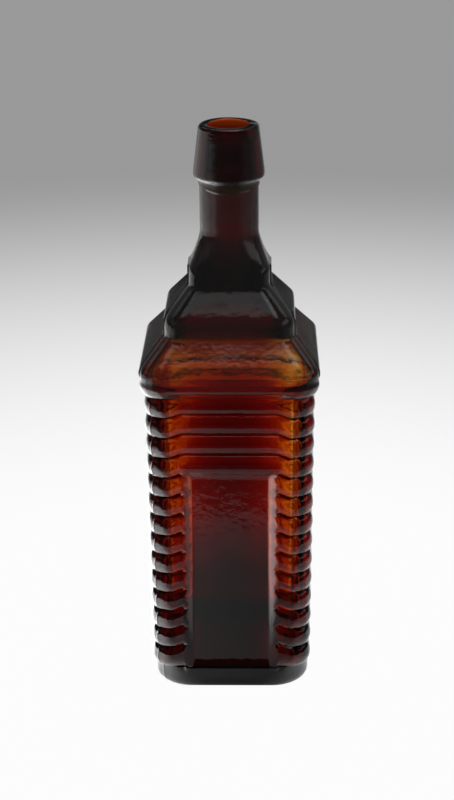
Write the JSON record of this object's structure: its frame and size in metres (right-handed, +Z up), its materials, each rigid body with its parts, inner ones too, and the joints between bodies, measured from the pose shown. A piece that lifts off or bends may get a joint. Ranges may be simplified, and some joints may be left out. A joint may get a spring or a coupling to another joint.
{
  "type": "glass bottle",
  "caption": "Square amber glass bottle shaped like a log cabin, with a stepped roof, round neck, applied lip and sunken label panels front and back; the mouth is open.",
  "frame": {"origin": "middle of the base, on the plane that the bottle stands on", "axes": "+Z up to the mouth, -Y out of the front label panel, +X to the right seen from the front"},
  "size_m": [0.079, 0.079, 0.257],
  "materials": {
    "amber_glass": "glossy, mould-blown, faintly rippled",
    "lip_glass": "glossy, hand-tooled"
  },
  "bodies": {
    "root": {"bottle_body": "amber_glass", "applied_lip": "lip_glass"}
  },
  "joints": []
}
